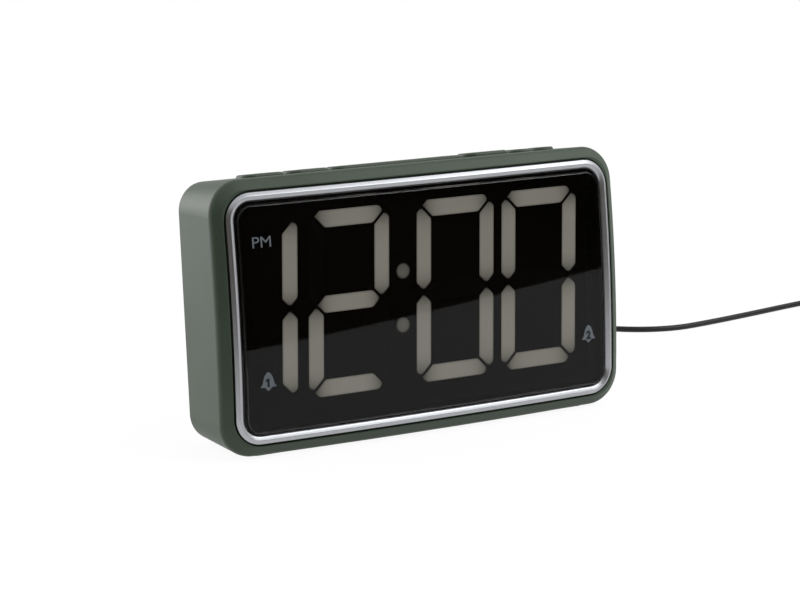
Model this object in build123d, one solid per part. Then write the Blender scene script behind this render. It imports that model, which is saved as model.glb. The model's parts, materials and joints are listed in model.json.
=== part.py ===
from build123d import *
import os
from math import asin, cos, degrees, pi, radians, sin, sqrt, tan

os.makedirs("parts", exist_ok=True)

# Digital desk clock with a crowned front: green moulded body, bright trim ring, dark window, large
# segment digits, a row of keys on top and a thin supply lead. Millimetres, front towards -Y, X to the
# viewer's right, +Z up. The clock is built upright, with depth along +Y counted from the plane through
# the trim ring's corners, and is leaned back onto its base at the end.

# Shares used throughout: a pill's round ends, the part of a run that a bend may take, and how far the
# crowned layers reach past the middle of the body
pill_end = 0.48
arc_share = 0.45
layer_share = 0.6

# Digits, as seen from the front
stroke = 5.87
digit_width = 32.2
digit_height = 64.3
middle_drop = 0.2
corner_cut = 4.2
segment_split = 1.0
slant = 0.05
first_gap = 4.4
colon_gap = 11.4
last_gap = 3.5
dot_radius = 2.73
dot_above = 8.2
dot_below = 10.8
dot_offset = 0.04
digits_right = 3.25
digits_up = 2.1

# Display block and its board
face_margin_side = 4.5
face_margin_end = 3.6
block_depth = 9.0
block_web = 1.2
diffuser_depth = 2.0
diffuser_step = 0.5
fit_gap = 0.08
board_thickness = 1.6
led_size = 1.6
led_height = 0.8
board_corner = 6.0
chip_width = 14.0
chip_height = 9.0
chip_depth = 1.8
chip_across = 0.22
chip_along = -0.29
can_radius = 2.5
can_height = 7.0
can_inset = 6.6
can_spread = 8.0
crystal_length = 8.0
crystal_width = 3.0
crystal_across = 0.09
crystal_along = 0.32

# Window, trim ring and rim
window_gap_side = 5.4
window_gap_end = 1.0
ledge = 1.5
ring_band = 2.7
ring_rise = 0.9
ring_round = 1.0
ring_corner = 9.9
rim = 4.6
rim_drop = 3.1
rim_level = 0.6
rim_round = 2.4
groove = 0.8
crown_across = 2.25
crown_up = 1.75
lens_rise = 0.3
lens_gap = 0.3
lens_round = 0.7
lens_clear = 0.3
flange_thickness = 1.0
flange_reach = 1.5
seat_depth = 2.2
front_wall = 2.8

# Body shell, rear cover and back-up cells
body_corner = 12.2
wall = 2.2
lean = 4.8
side_draft = 5.8
board_clear = 4.6
cover_thickness = 2.4
cover_gap = 0.25
cell_diameter = 10.5
cell_length = 44.5
cell_clear = 0.3
bay_wall = 1.4
contact_room = 2.6
contact_thickness = 0.5
door_thickness = 2.0
door_ledge = 1.6
door_gap = 0.3
door_corner = 2.0
door_grip = 14.0
door_groove = 1.2
door_groove_pitch = 3.0
nub_length = 1.0
nub_radius = 1.9
contact_size = 8.0
bay_inset = 60.9
bay_up = -4.0

# Posts, bosses and screws
post_radius = 3.5
post_inset = 9.7
screw_radius = 1.3
screw_gap = 0.05
screw_head_radius = 2.5
screw_head_height = 1.3
screw_head_gap = 0.3
cover_screw_length = 9.0
board_screw_length = 6.5
pilot_depth = 9.0
slot_width = 0.7
boss_radius = 2.3
boss_inset = 3.0
boss_drop = 13.8
post_clear = 0.5

# Keys along the top
key_width = 16.2
set_width = 18.4
small_width = 8.5
key_depth = 11.0
key_corner = 4.4
key_rise = 1.1
set_rise = 1.4
key_round = 0.5
key_space = 1.6
key_gap = 0.25
row_margin = 6.2
row_depth = 15.2
flange_step = 1.0
key_flange = 0.9
key_travel = 0.6
switch_size = 6.0
switch_height = 3.0
plunger_radius = 1.5
plunger_gap = 0.2
plunger_sunk = 0.9
press_spare = 0.2
well_spare = 0.6
strip_thickness = 1.2
strip_front = 5.6
strip_back = 10.9
strip_overhang = 1.6
strip_boss_depth = 8.8
strip_boss_radius = 1.9
strip_boss_share = 0.35

# Buzzer, feet and cord relief
buzzer_radius = 14.0
buzzer_height = 6.0
buzzer_inset = 42.9
buzzer_up = 4.0
buzzer_collar = 1.2
buzzer_gap = 0.2
buzzer_rim = 2.5
buzzer_magnet = 8.0
sound_radius = 11.0
sound_slot_width = 1.6
sound_slot_pitch = 4.0
sound_slots = 5
foot_length = 14.0
foot_depth = 6.0
foot_height = 0.8
foot_recess = 0.6
foot_gap = 0.1
foot_inset_side = 20.0
foot_inset_front = 3.0
foot_inset_back = 2.5
cord_diameter = 2.4
relief_length = 16.0
relief_radius = 3.2
relief_tip_radius = 1.9
relief_collar = 1.2
relief_flange = 4.2
relief_neck = 2.6
relief_gap = 0.1
relief_ribs = 4
relief_groove = 0.5
relief_inset_side = 24.9
relief_inset_end = 11.7

# Supply lead on the table: places right of and behind the relief's tip, and height above lying flat
rest_gap = 0.05
first_run = 11.0
cord_way = [
    (1.3, 24.0, 3.4),
    (5.5, 39.5, 0.0),
    (17.0, 57.5, 0.0),
    (39.0, 71.0, 0.0),
    (66.0, 72.4, 0.0),
    (87.5, 61.5, 0.0),
    (100.0, 47.1, 0.0),
    (117.0, 39.8, 0.0),
    (138.0, 42.0, 0.0),
    (164.0, 46.3, 0.0),
    (185.0, 50.3, 0.0),
    (202.0, 52.0, 0.3),
]
coil_way = [(215.5, 46.5), (222.0, 36.5)]

# Put-away coil and the plug on the cord's end
coil_right = 222.0
coil_back = 23.5
coil_radius = 13.2
coil_pitch = 3.4
coil_rise = 3.1
layer_half_turns = [5, 5, 5, 4]
tie_thickness = 0.6
tie_width = 5.0
tie_gap = 0.2
lead_run = 10.8
lead_way = [(1, 0.0, 1.0), (2, 0.6, 0.68), (3, 1.2, 0.24), (4, 1.5, 0.0), (4.9, 1.5, 0.0)]
plug_length = 24.0
plug_width = 14.0
plug_height = 7.6
plug_neck = 7.0
plug_neck_radius = 2.4
shell_length = 18.8
shell_width = 12.0
shell_height = 4.5
shell_wall = 0.35
shell_sunk = 6.0
tongue_thickness = 1.9
tongue_width = 10.2
tongue_length = 15.0
plug_round = 2.6
plug_edge = 1.0
shell_corner = 0.8
latch_size = 2.3
latch_spread = 2.6
latch_back = 4.6

# Sizes that follow from these: the digits set the window, and the window sets the body
digit_span = stroke + first_gap + digit_width + colon_gap + digit_width + last_gap + digit_width
block_width = digit_span + 2 * (abs(digits_right) + face_margin_side)
block_height = digit_height + 2 * (abs(digits_up) + face_margin_end)
window_width = block_width + 2 * window_gap_side
window_height = block_height + 2 * window_gap_end
ring_width = window_width + 2 * (ledge + ring_band)
ring_height = window_height + 2 * (ledge + ring_band)
body_width = ring_width + 2 * rim
body_height = ring_height + 2 * rim
crown = crown_across + crown_up
before = 4 * crown
radius_up = (ring_height ** 2 / 4 + crown_up ** 2) / (2 * crown_up)
radius_across = (ring_width ** 2 / 4 + crown_across ** 2) / (2 * crown_across)
boss_right = window_width / 2 + boss_inset
boss_spread = block_height / 2 - boss_drop
relief_right = body_width / 2 - relief_inset_side
relief_up = relief_inset_end - body_height / 2
buzzer_right = body_width / 2 - buzzer_inset
bay_right = bay_inset - body_width / 2
draft = tan(radians(lean))
block_front = block_width ** 2 / (8 * radius_across) + block_height ** 2 / (8 * radius_up)
block_front = block_front - crown + seat_depth + lens_clear
block_back = block_front + block_depth
board_back = block_back + board_thickness
bay_front = board_back + board_clear
cells_front = bay_front + bay_wall
door_front = cells_front + cell_diameter + 2 * cell_clear
rear_edge = door_front + door_thickness
cover_front = rear_edge - cover_thickness
wall_back = seat_depth + front_wall


# Drawing helpers
def at_depth(depth):
    """Drawing plane at a depth behind the ring's corners, seen from the front."""
    return Plane.XZ.offset(-depth)


def slab(outline, front, back):
    """An outline, drawn as seen from the front, carried from one depth to another."""
    return extrude(at_depth(front) * outline, amount=front - back)


def rod(right, up, radius, front, back):
    return slab(Pos(right, up) * Circle(radius), front, back)


def window_shape(margin):
    """The trim ring's outline, grown by a margin."""
    return RectangleRounded(ring_width + 2 * margin, ring_height + 2 * margin, ring_corner + margin)


def shrink_at(depth):
    return (depth - rim_drop) * draft


def body_outline(inset, depth):
    """The walls' outline at a depth: the base and the top draw in by the lean, the sides a little more."""
    side = inset + (depth - rim_drop) * tan(radians(side_draft))
    end = inset + shrink_at(depth)
    return RectangleRounded(body_width - 2 * side, body_height - 2 * end, body_corner - end)


def tapered(inset, front, back):
    """The body's form between two depths: four walls that draw in towards the back."""
    sections = [at_depth(depth) * body_outline(inset, depth) for depth in (front, back)]
    return loft(sections, ruled=True)


def crowned_layer(front, back):
    """Layer between two depths under the crowned front, bowed both across and upwards."""
    middle = radius_up - crown
    reach = asin(layer_share * body_height / radius_up)

    def at(radius, angle):
        return (0, middle - radius * cos(angle), radius * sin(angle))

    outer = radius_up - front
    inner = radius_up - back
    profile = make_face(
        [
            ThreePointArc(at(outer, -reach), at(outer, 0), at(outer, reach)),
            Line(at(outer, reach), at(inner, reach)),
            ThreePointArc(at(inner, reach), at(inner, 0), at(inner, -reach)),
            Line(at(inner, -reach), at(outer, -reach)),
        ]
    )
    bow_axis = Axis((0, radius_across - crown, 0), (0, 0, 1))
    half = degrees(asin(layer_share * body_width / radius_across))
    return revolve(profile, bow_axis, 2 * half).rotate(bow_axis, -half)


def crowned(outline, front, back):
    """An outline carried between two depths under the crowned front."""
    return slab(outline, -before, rear_edge) & crowned_layer(front, back)


def mirrored_corners(right, up):
    return [(x, y) for x in (-right, right) for y in (-up, up)]


# Housing: one moulding with tapered walls, a bevelled rim and a rebate for the ring and the window
def bow_at(point):
    """How far the crowned front stands before the ring's corners at a point."""
    across = crown_across * (1 - (2 * point.X / ring_width) ** 2)
    return across + crown_up * (1 - (2 * point.Z / ring_height) ** 2)


body = tapered(0, -before, rear_edge) & crowned_layer(rim_level, 3 * rear_edge)
front_face = body.faces().sort_by(Axis.Y)[0]
body = chamfer(front_face.edges(), rim - groove, rim_drop - rim_level, reference=front_face)
edge_low = (rim_level + rim_drop) / 2
rim_edges = []
for edge in body.edges():
    sunk = edge.center().Y + bow_at(edge.center())
    if edge_low < sunk < rim_drop + rim_round:
        rim_edges.append(edge)
body = fillet(rim_edges, rim_round)
housing = body - tapered(wall, wall_back, rear_edge + wall)
housing -= crowned(window_shape(groove), -before, seat_depth)
housing -= slab(window_shape(-ring_band - ledge), -before, wall_back + wall)

cover_posts = mirrored_corners(body_width / 2 - post_inset, body_height / 2 - post_inset)
board_bosses = mirrored_corners(boss_right, boss_spread)
supports = []
for right, up in cover_posts:
    post = rod(right, up, post_radius, wall_back - wall, cover_front)
    post -= rod(right, up, screw_radius + screw_gap, cover_front - pilot_depth, rear_edge)
    supports.append(post)
for right, up in board_bosses:
    boss = rod(right, up, boss_radius, wall_back - wall / 2, block_back)
    boss -= rod(right, up, screw_radius + screw_gap, wall_back, block_back)
    supports.append(boss)
housing += [support & tapered(wall / 2, -crown, rear_edge) for support in supports]

# Keys along the top: caps that press straight into the sloping top wall, each over a small switch
wall_through = wall * cos(radians(lean))
top_wall = Plane(
    origin=(0, row_depth, body_height / 2 - shrink_at(row_depth)),
    x_dir=(1, 0, 0),
    z_dir=(0, sin(radians(lean)), cos(radians(lean))),
)
row_width = body_width - 2 * body_corner - 2 * row_margin
snooze_width = row_width - 2 * key_width - set_width - 2 * small_width - 5 * key_space
keys = [
    ("alarm_one", key_width, key_rise),
    ("alarm_two", key_width, key_rise),
    ("snooze", snooze_width, key_rise),
    ("set", set_width, set_rise),
    ("minus", small_width, key_rise),
    ("plus", small_width, key_rise),
]
press_axis = Axis(top_wall.origin, top_wall.z_dir)
flange_top = -wall_through - key_gap
flange_low = flange_top - key_flange
switch_top = flange_low - key_travel - press_spare
strip_top = switch_top - switch_height


def stack(outline, low, high):
    """An outline on the top wall's plane, carried between two heights above the wall."""
    return top_wall * extrude(Pos(0, 0, low) * outline, amount=high - low)


def key_outline(centre, width, grow=0.0, deeper=0.0):
    depth = key_depth + 2 * grow + 2 * deeper
    corner = min(key_corner, pill_end * width) + grow
    return Pos(centre, 0) * RectangleRounded(width + 2 * grow, depth, corner)


clock = {}
switches = []
left = -row_width / 2
for name, width, rise in keys:
    centre = left + width / 2
    left += width + key_space
    cap = stack(key_outline(centre, width), flange_low, rise)
    cap_top = cap.faces().sort_by(press_axis)[-1]
    cap = fillet(cap_top.edges(), key_round)
    cap += stack(key_outline(centre, width, deeper=flange_step), flange_low, flange_top)
    clock[name + "_button"] = cap
    plunger_low = switch_top - plunger_sunk
    clock[name + "_plunger"] = stack(Pos(centre, 0) * Circle(plunger_radius), plunger_low, flange_low)
    switch = stack(Pos(centre, 0) * Rectangle(switch_size, switch_size), strip_top, switch_top)
    well_low = switch_top - plunger_sunk - key_travel - well_spare
    well = stack(Pos(centre, 0) * Circle(plunger_radius + plunger_gap), well_low, switch_top)
    switches.append(switch - well)
    housing -= stack(key_outline(centre, width, grow=key_gap), -2 * wall, 2 * wall)
clock["switch_bodies"] = Compound(children=switches)

strip_length = row_width + 2 * strip_overhang
strip_width = strip_front + strip_back
strip = stack(
    Pos(0, (strip_back - strip_front) / 2) * Rectangle(strip_length, strip_width),
    strip_top - strip_thickness,
    strip_top,
)
strip_screws = []
for share in (-strip_boss_share, 0, strip_boss_share):
    spot = Pos(share * row_width, strip_boss_depth)
    boss = stack(spot * Circle(strip_boss_radius), strip_top, -wall / 2)
    housing += boss - stack(spot * Circle(screw_radius + screw_gap), strip_top, -wall_through)
    strip -= stack(spot * Circle(screw_radius + screw_gap), strip_top - strip_thickness, strip_top)
    head_low = strip_top - strip_thickness - screw_head_height
    screw = stack(spot * Circle(screw_head_radius), head_low, strip_top - strip_thickness)
    screw += stack(spot * Circle(screw_radius), head_low, strip_top + switch_height)
    strip_screws.append(screw)
clock["button_board"] = strip
clock["strip_screws"] = Compound(children=strip_screws)

# Feet: soft pads let into the base, which lies level once the clock leans back
base = Plane(
    origin=(0, rim_drop, -body_height / 2),
    x_dir=(1, 0, 0),
    z_dir=(0, sin(radians(lean)), -cos(radians(lean))),
)
feet = []
foot_front = foot_inset_front + foot_depth / 2
foot_back = (rear_edge - rim_drop) / cos(radians(lean)) - foot_inset_back - foot_depth / 2
for right in (-1, 1):
    for back in (foot_front, foot_back):
        spot = Pos(right * (body_width / 2 - foot_inset_side), -back, -foot_recess)
        pad = spot * RectangleRounded(foot_length, foot_depth, pill_end * foot_depth)
        pocket_width = foot_depth + 2 * foot_gap
        pocket = spot * RectangleRounded(foot_length + 2 * foot_gap, pocket_width, pill_end * pocket_width)
        feet.append(base * extrude(pad, amount=foot_recess + foot_height))
        housing -= base * extrude(pocket, amount=foot_recess + foot_height)
clock["feet"] = Compound(children=feet)
clock["housing"] = housing

# Trim ring and window: the ring's skirt stands on the housing's ledge and traps the window's flange
ring = crowned(window_shape(0) - window_shape(-ring_band), -ring_rise, seat_depth)
ring_front = ring.faces().sort_by(Axis.Y)[0]
ring = fillet(ring_front.edges(), ring_round)
flange_front = seat_depth - flange_thickness
ring -= crowned(window_shape(flange_reach - ring_band + lens_gap), flange_front, 2 * seat_depth)
clock["trim_ring"] = ring
lens_edge = window_shape(flange_reach - ring_band)
lens = crowned(lens_edge, -lens_rise, seat_depth)
lens -= crowned(window_shape(flange_reach) - window_shape(-ring_band - lens_gap), -before, flange_front)
lens_front = lens.faces().sort_by(Axis.Y)[0]
clock["front_lens"] = fillet(lens_front.edges(), lens_round)

# Digits: seven mitred segments each, sheared a little to the right
high = digit_height / 2
low = -digit_height / 2
tip_step = segment_split / (2 * sqrt(2))
mitre_step = segment_split / sqrt(2)


def segment_points(letter):
    """Corners of one segment, in a digit whose left edge is 0 and whose middle height is 0."""
    cut = corner_cut
    bar = [(stroke + mitre_step, stroke), (cut / 2 + tip_step, cut / 2 - tip_step), (cut, 0)]
    post = [(0, cut), (cut / 2 - tip_step, cut / 2 + tip_step), (stroke, stroke + mitre_step)]
    shoulder = stroke / 2 + mitre_step
    if letter in "ad":
        ends = bar + [(digit_width - x, y) for x, y in reversed(bar)]
        return [(x, high - y) if letter == "a" else (x, low + y) for x, y in ends]
    if letter == "g":
        ends = [(stroke + mitre_step, stroke / 2), (shoulder, 0), (stroke + mitre_step, -stroke / 2)]
        ends += [(digit_width - x, y) for x, y in reversed(ends)]
        return [(x, y - middle_drop) for x, y in ends]
    upper = letter in "bf"
    half = high + middle_drop if upper else high - middle_drop
    ends = post + [(stroke, half - shoulder), (stroke / 2, half - mitre_step), (0, half - shoulder)]
    ends = [(x, high - y) if upper else (x, low + y) for x, y in ends]
    return [(digit_width - x, y) for x, y in ends] if letter in "bc" else ends


def segment_face(letter, left_edge):
    points = [(left_edge + x + slant * y, digits_up + y) for x, y in segment_points(letter)]
    return make_face(Polyline(*points, close=True))


first_left = digits_right - digit_span / 2
second_left = first_left + stroke + first_gap
third_left = second_left + digit_width + colon_gap
fourth_left = third_left + digit_width + last_gap
digits = [
    ("hour_tens_segments", first_left + stroke - digit_width, "bc", "bc"),
    ("hour_segments", second_left, "abdeg", "abcdefg"),
    ("minute_tens_segments", third_left, "abcdef", "abcdefg"),
    ("minute_segments", fourth_left, "abcdef", "abcdefg"),
]
colon_right = second_left + digit_width + colon_gap / 2 + dot_offset
colon = []
for up in (dot_above, -dot_below):
    colon.append(Pos(colon_right + slant * up, digits_up + up) * Circle(dot_radius))
shapes = list(colon)
dark = []
for name, left_edge, lit, fitted in digits:
    bright = []
    for letter in fitted:
        face = segment_face(letter, left_edge)
        shapes.append(face)
        if letter in lit:
            bright.append(slab(face, block_front, block_front + diffuser_depth))
        else:
            dark.append(slab(face, block_front, block_front + diffuser_depth))
    clock[name] = Compound(children=bright)
clock["unlit_segments"] = Compound(children=dark)
dots = [slab(dot, block_front, block_front + diffuser_depth) for dot in colon]
clock["colon_dots"] = Compound(children=dots)

# Display block: opaque, with a light well behind each segment and a step that the diffuser sits on
block = slab(RectangleRounded(block_width, block_height, block_web), block_front, block_back)
wells = []
leds = []
for shape in shapes:
    mouth = offset(shape, fit_gap, kind=Kind.INTERSECTION)
    throat = offset(shape, -diffuser_step, kind=Kind.INTERSECTION)
    wells.append(slab(mouth, block_front, block_front + diffuser_depth))
    wells.append(slab(throat, block_front, block_back))
    spot = shape.center()
    lamp = Pos(spot.X, spot.Y) * Rectangle(led_size, led_size)
    leds.append(slab(lamp, block_back - led_height, block_back))
clock["display_block"] = block - wells
clock["leds"] = Compound(children=leds)

# Display board, held by four screws, with its larger parts on the back
board_shape = RectangleRounded(2 * (boss_right + boss_radius), block_height, board_corner)
board = slab(board_shape, block_back, board_back)
board -= [rod(right, up, post_radius + post_clear, block_back, board_back) for right, up in cover_posts]


def board_screw(right, up):
    screw = rod(right, up, screw_head_radius, board_back, board_back + screw_head_height)
    screw += rod(right, up, screw_radius, board_back - board_screw_length, board_back)
    return screw


for right, up in board_bosses:
    board -= rod(right, up, screw_radius + screw_gap, block_back, board_back)
clock["display_board"] = board
clock["board_screws"] = Compound(children=[board_screw(right, up) for right, up in board_bosses])
chip_spot = Pos(chip_across * block_width, chip_along * block_height)
chip = chip_spot * Rectangle(chip_width, chip_height)
clock["control_chip"] = slab(chip, board_back, board_back + chip_depth)
cans = []
for up in (-can_spread, can_spread):
    cans.append(rod(block_width / 2 - can_inset, up, can_radius, board_back, board_back + can_height))
clock["board_capacitors"] = Compound(children=cans)
crystal_spot = Pos(crystal_across * block_width, crystal_along * block_height)
crystal = crystal_spot * RectangleRounded(crystal_length, crystal_width, pill_end * crystal_width)
clock["crystal"] = slab(crystal, board_back, board_back + crystal_width)

# Rear cover: a flat lid between the walls, with the cell bay, sound slots and the cord's hole
cover = slab(body_outline(wall + cover_gap, rear_edge), cover_front, rear_edge)
bay_length = cell_length + 2 * contact_room
bay_width = 2 * cell_diameter + 3 * cell_clear
bay_spot = Pos(bay_right, bay_up)
bay_outside = bay_spot * Rectangle(bay_length + 2 * bay_wall, bay_width + 2 * bay_wall)
cover += slab(bay_outside, bay_front, cover_front)
cover -= slab(bay_spot * Rectangle(bay_length, bay_width), cells_front, rear_edge)
recess_length = bay_length + 2 * door_ledge
recess_width = bay_width + 2 * door_ledge
cover -= slab(bay_spot * RectangleRounded(recess_length, recess_width, door_corner), door_front, rear_edge)
collar_bore = buzzer_radius + buzzer_gap
collar = Pos(buzzer_right, buzzer_up) * (Circle(collar_bore + buzzer_collar) - Circle(collar_bore))
cover += slab(collar, cover_front - buzzer_rim, cover_front)
for index in range(sound_slots):
    up = (index - (sound_slots - 1) / 2) * sound_slot_pitch
    length = 2 * sqrt(sound_radius ** 2 - up ** 2)
    slot = Pos(buzzer_right, buzzer_up + up) * SlotOverall(length, sound_slot_width)
    cover -= slab(slot, cover_front, rear_edge)
cover -= rod(relief_right, relief_up, relief_neck + relief_gap, cover_front, rear_edge)
screws = []
head_front = rear_edge - screw_head_height
for right, up in cover_posts:
    cover -= rod(right, up, screw_head_radius + screw_head_gap, head_front, rear_edge)
    cover -= rod(right, up, screw_radius + screw_gap, cover_front, rear_edge)
    screw = rod(right, up, screw_head_radius, head_front, rear_edge)
    slot = Pos(right, up) * Rectangle(2 * screw_head_radius, slot_width)
    screw -= slab(slot, rear_edge - slot_width, rear_edge)
    screws.append(screw + rod(right, up, screw_radius, head_front - cover_screw_length, head_front))
clock["rear_cover"] = cover
clock["cover_screws"] = Compound(children=screws)

# Battery door, lying on the bay's ledge, with finger grooves
door_length = recess_length - 2 * door_gap
door_width = recess_width - 2 * door_gap
door_shape = bay_spot * RectangleRounded(door_length, door_width, door_corner - door_gap)
door = slab(door_shape, door_front, rear_edge)
for step in (-1, 0, 1):
    groove_spot = Pos(bay_right + step * door_groove_pitch, bay_up)
    finger_groove = groove_spot * SlotOverall(door_grip, door_groove, rotation=90)
    door -= slab(finger_groove, rear_edge - door_groove / 2, rear_edge)
clock["battery_door"] = door

# Back-up cells side by side, facing opposite ways, between their contacts
cell_depth = cells_front + cell_clear + cell_diameter / 2
contact_reach = contact_room - contact_thickness - cell_clear


def lying(right, up, shape):
    """A shape turned to lie along the bay, with its middle at a place across the back."""
    return Plane((right, cell_depth, up), z_dir=(1, 0, 0)) * shape


cells = []
contacts = []
for side in (-1, 1):
    up = bay_up + side * (cell_diameter + cell_clear) / 2
    can = Cylinder(cell_diameter / 2, cell_length - nub_length)
    cell = lying(bay_right - side * nub_length / 2, up, can)
    nub_right = bay_right + side * (cell_length - nub_length) / 2
    cells.append(cell + lying(nub_right, up, Cylinder(nub_radius, nub_length)))
    for end in (-1, 1):
        plate_right = bay_right + end * (bay_length - contact_thickness) / 2
        plate = lying(plate_right, up, Box(contact_size, contact_size, contact_thickness))
        spring_right = bay_right + end * (bay_length / 2 - contact_thickness - contact_reach / 2)
        contacts.append(plate + lying(spring_right, up, Cylinder(nub_radius, contact_reach)))
clock["backup_cells"] = Compound(children=cells)
clock["cell_contacts"] = Compound(children=contacts)

# Buzzer behind the sound slots
buzzer = rod(buzzer_right, buzzer_up, buzzer_radius, cover_front - buzzer_rim, cover_front)
buzzer += rod(buzzer_right, buzzer_up, buzzer_magnet, cover_front - buzzer_height, cover_front)
clock["buzzer"] = buzzer

# Cord relief: a ribbed taper with a neck that snaps into the rear cover
neck_front = cover_front - relief_collar
relief_back = rear_edge + relief_collar
profile = [
    (0, neck_front),
    (relief_flange, neck_front),
    (relief_flange, cover_front),
    (relief_neck, cover_front),
    (relief_neck, rear_edge),
    (relief_flange, rear_edge),
    (relief_flange, relief_back),
    (relief_radius, relief_back),
]
slope = (relief_radius - relief_tip_radius) / relief_length
rib_pitch = relief_length / (2 * relief_ribs + 1)
for index in range(1, 2 * relief_ribs + 1):
    back = relief_back + index * rib_pitch
    radius = relief_radius - slope * index * rib_pitch
    inner = radius - relief_groove
    profile += [(radius, back), (inner, back)] if index % 2 else [(inner, back), (radius, back)]
relief_tip = relief_back + relief_length
profile += [(relief_tip_radius, relief_tip), (0, relief_tip)]
outline = make_face(Polyline(*[(radius, depth, 0) for radius, depth in profile], close=True))
clock["cord_relief"] = Pos(relief_right, 0, relief_up) * revolve(outline, Axis.Y)

# Lean the clock back onto its base and put the origin under the middle of its box
lift = rim_drop * sin(radians(lean)) + body_height / 2 * cos(radians(lean)) + foot_height
tilt = Rot(X=-lean)
outside = [tilt * clock[name] for name in ("housing", "trim_ring", "front_lens", "cord_relief")]
box = Compound(children=outside).bounding_box()
place = Pos(0, -(box.min.Y + box.max.Y) / 2, lift) * tilt
nodes = {name: place * part for name, part in clock.items()}

# Supply lead: out of the relief, round on the table behind the clock and off to its right
exit_point = (place * Pos(relief_right, relief_tip, relief_up)).position
exit_heading = Vector(0, cos(radians(lean)), -sin(radians(lean)))
cord_radius = cord_diameter / 2
cord_level = cord_radius + rest_gap
coil_low = cord_level + tie_thickness + tie_gap
coil_out = coil_radius + layer_half_turns[0] * coil_pitch / 4
coil_in = coil_radius - layer_half_turns[0] * coil_pitch / 4
below_exit = Vector(exit_point.X, exit_point.Y, 0)
coil_middle = below_exit + Vector(coil_right - coil_out, coil_back, 0)
coil_start = below_exit + Vector(coil_right, coil_back + cord_diameter, coil_low)
way = [exit_point, exit_point + exit_heading * first_run]
way += [below_exit + Vector(right, back, cord_level + above) for right, back, above in cord_way]
way += [below_exit + Vector(right, back, coil_low) for right, back in coil_way]
way.append(coil_start)


def soft_path(points):
    """Runs joined by arcs that are each as large as the runs beside them leave room for."""
    radii = []
    for before, here, after in zip(points, points[1:], points[2:]):
        turn = radians((here - before).get_angle(after - here))
        shorter = min((here - before).length, (after - here).length)
        radii.append(arc_share * shorter / tan(turn / 2))
    print("bend radii", [round(radius, 1) for radius in radii])
    return FilletPolyline(*points, radius=radii)


def tube(name, path, start, heading):
    solid = sweep(Plane(start, z_dir=heading) * Circle(cord_radius), path=path)
    share = solid.volume / (pi * cord_radius ** 2 * path.length)
    print(name, "length", round(path.length, 1), "volume over section times length", round(share, 5))
    return solid


nodes["power_cord"] = tube("power_cord", soft_path(way), exit_point, exit_heading)

# Put-away coil: one tube in four flat spirals, in and out, each climb being half a turn
radius_now = coil_out
level_now = coil_low
stops = [(radius_now, level_now)]
for layer, half_turns in enumerate(layer_half_turns):
    if layer:
        level_now += coil_rise
        stops.append((radius_now, level_now))
    inwards = -1 if layer % 2 == 0 else 1
    for half_turn in range(half_turns):
        radius_now += inwards * coil_pitch / 2
        stops.append((radius_now, level_now))
marks = []
for index, (radius, level) in enumerate(stops):
    side = 1 if index % 2 == 0 else -1
    marks.append((coil_middle + Vector(side * radius, 0, level), Vector(0, -side, 0)))
coil_edges = [Line(coil_start, marks[0][0])]
for (here, heading), (there, arriving) in zip(marks, marks[1:]):
    reach = (there - here).length / 2
    ahead = here + heading * reach
    behind = there - arriving * reach
    join = (ahead + behind) / 2
    coil_edges.append(TangentArc(here, join, tangent=heading))
    coil_edges.append(TangentArc(join, there, tangent=behind - ahead))
lead_heading = Vector(0, -1, 0)
lead_start = marks[-1][0] + lead_heading * cord_diameter
coil_edges.append(Line(marks[-1][0], lead_start))
coil_path = Wire(coil_edges)
nodes["cord_coil"] = tube("cord_coil", coil_path, coil_start, lead_heading)

trail_steps = 12
trail = []
for edge in coil_edges:
    trail += [edge @ (step / trail_steps) for step in range(trail_steps)]
apart = coil_in * pi
walked = 0.0
stations = [0.0]
for here, there in zip(trail, trail[1:]):
    walked += (there - here).length
    stations.append(walked)
nearest = coil_out
for first in range(len(trail)):
    for second in range(first + 1, len(trail)):
        if stations[second] - stations[first] > apart:
            nearest = min(nearest, (trail[first] - trail[second]).length)
print("least gap between turns", round(nearest - cord_diameter, 3))

# Tie round the coil, on the side away from its ends
tie_outer = coil_out + cord_radius + tie_gap
tie_inner = sqrt(coil_in ** 2 - tie_width ** 2 / 4) - cord_radius - tie_gap
tie_low = coil_low - cord_radius - tie_gap
tie_high = level_now + cord_radius + tie_gap
tie_hole = RectangleRounded(tie_outer - tie_inner, tie_high - tie_low, cord_radius)
tie_shape = offset(tie_hole, tie_thickness) - tie_hole
tie_middle = coil_middle + Vector(-(tie_outer + tie_inner) / 2, tie_width / 2, (tie_low + tie_high) / 2)
tie_plane = Plane(tie_middle, x_dir=(1, 0, 0), z_dir=(0, -1, 0))
nodes["cord_tie"] = extrude(tie_plane * tie_shape, amount=tie_width)

# Short lead down to the plug, which lies flat on the table
plug_level = plug_height / 2 + rest_gap
lead = [lead_start]
for runs, drift, left_up in lead_way:
    level = plug_level + left_up * (level_now - plug_level)
    lead.append(Vector(lead_start.X + drift, lead_start.Y - runs * lead_run, level))
nodes["plug_lead"] = tube("plug_lead", soft_path(lead), lead_start, lead_heading)
plug = Plane(lead[-1], x_dir=(1, 0, 0), z_dir=(0, -1, 0))
grip_end = plug_neck + plug_length
shell_from = grip_end - shell_sunk
shell_end = shell_from + shell_length
shell_shape = RectangleRounded(shell_width, shell_height, shell_corner)
shell_bore = offset(shell_shape, -shell_wall)


def plugged(outline, start, end):
    return plug * extrude(Pos(0, 0, start) * outline, amount=end - start)


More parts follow.
